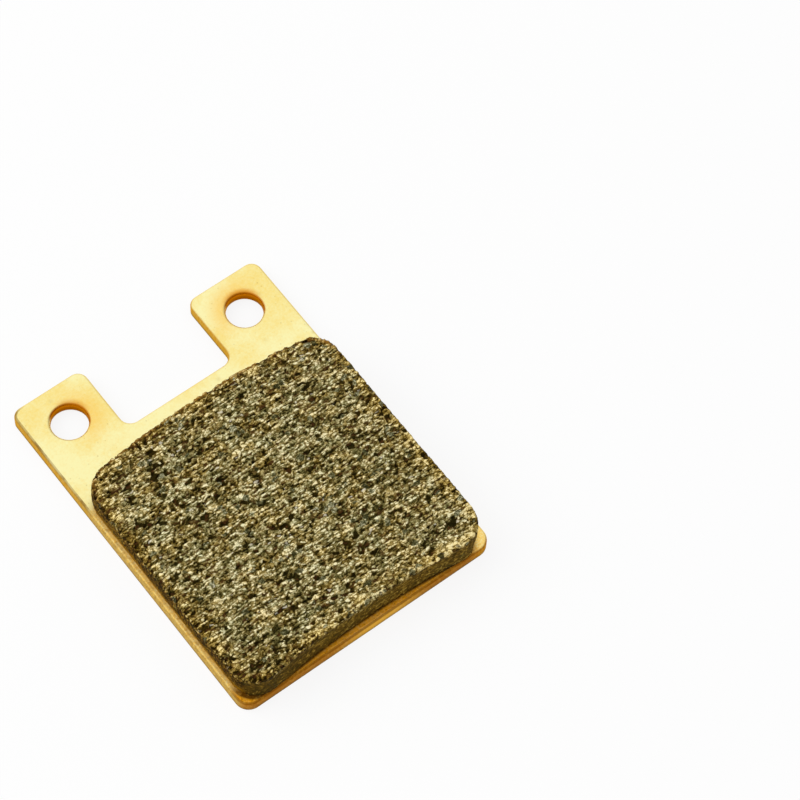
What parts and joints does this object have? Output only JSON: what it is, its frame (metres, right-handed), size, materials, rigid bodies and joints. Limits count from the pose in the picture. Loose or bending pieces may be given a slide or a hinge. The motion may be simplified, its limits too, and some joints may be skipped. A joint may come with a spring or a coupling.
{
  "type": "bicycle disc brake pad",
  "caption": "Disc brake pad for a bicycle caliper: a punched, gold-coloured steel backing plate with pin ears, and a sintered friction block keyed into it.",
  "frame": {"origin": "centre of the backing plate's outline, on its back face", "axes": "+Z out of the friction face, +Y towards the pin ears, +X across the pad; the pad lies on its back"},
  "size_m": [0.032, 0.0422, 0.005],
  "materials": {
    "plated_steel": "Satin yellow-gold plating over steel on the front and the sides, bare pale grey steel on the back face.",
    "sintered_metal": "Coarse sintered metal with pale brassy flakes, grey grains and dark pits, ground flat on the friction face."
  },
  "bodies": {
    "root": {"backing_plate": "plated_steel", "friction_block": "sintered_metal"}
  },
  "joints": []
}
